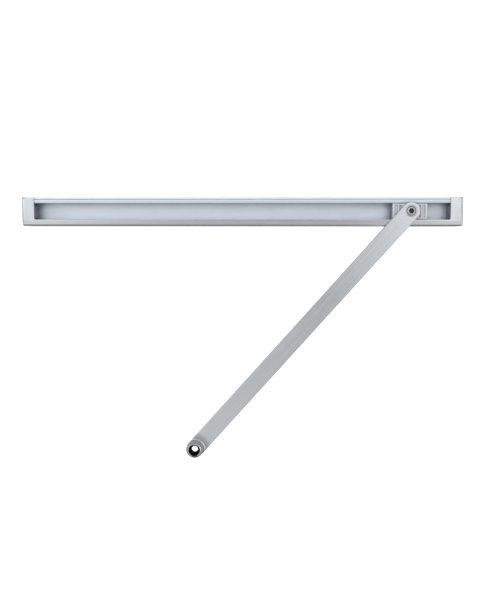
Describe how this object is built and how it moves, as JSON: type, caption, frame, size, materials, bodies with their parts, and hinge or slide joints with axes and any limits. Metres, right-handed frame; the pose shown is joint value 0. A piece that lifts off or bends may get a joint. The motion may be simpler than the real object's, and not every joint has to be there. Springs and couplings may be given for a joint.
{
  "type": "door closer slide rail arm",
  "caption": "Slide-rail arm set for an overhead door closer: guide channel with cover, sliding block and straight arm with a round spindle socket.",
  "frame": {"origin": "centre of the guide rail's back face, which lies against the wall or door leaf", "axes": "+X along the rail, +Y towards the wall or door leaf, +Z the side that the channel and the spindle socket open to"},
  "size_m": [0.443, 0.2649, 0.0308],
  "materials": {
    "guide_rail": "satin",
    "front_cover": "satin",
    "cover_studs": "matte",
    "end_stops": "matte",
    "end_stop_screws": "satin",
    "slide_block": "matte",
    "nut_plate": "satin",
    "thrust_washer": "satin",
    "pivot_screw": "satin",
    "pivot_bush": "satin",
    "arm_bar": "satin",
    "spindle_hub": "satin"
  },
  "bodies": {
    "rail": {"guide_rail": "guide_rail", "front_cover": "front_cover", "cover_studs": "cover_studs", "left_end_stop": "end_stops", "right_end_stop": "end_stops", "end_stop_screws": "end_stop_screws"},
    "slide_block": {"slide_block": "slide_block", "nut_plate": "nut_plate", "thrust_washer": "thrust_washer", "pivot_screw": "pivot_screw"},
    "arm": {"arm_bar": "arm_bar", "pivot_bush": "pivot_bush", "spindle_hub": "spindle_hub"}
  },
  "joints": [
    {"name": "block_slide", "type": "slide", "parent": "rail", "child": "slide_block", "axis": [1, 0, 0], "range_m": [-0.35995, 0.02255]},
    {"name": "arm_pivot", "type": "hinge", "parent": "slide_block", "child": "arm", "pos_m": [0.1687, -0.01435, 0.0116], "axis": [0, 0, 1], "range_deg": [-48.4, 131.6]}
  ]
}
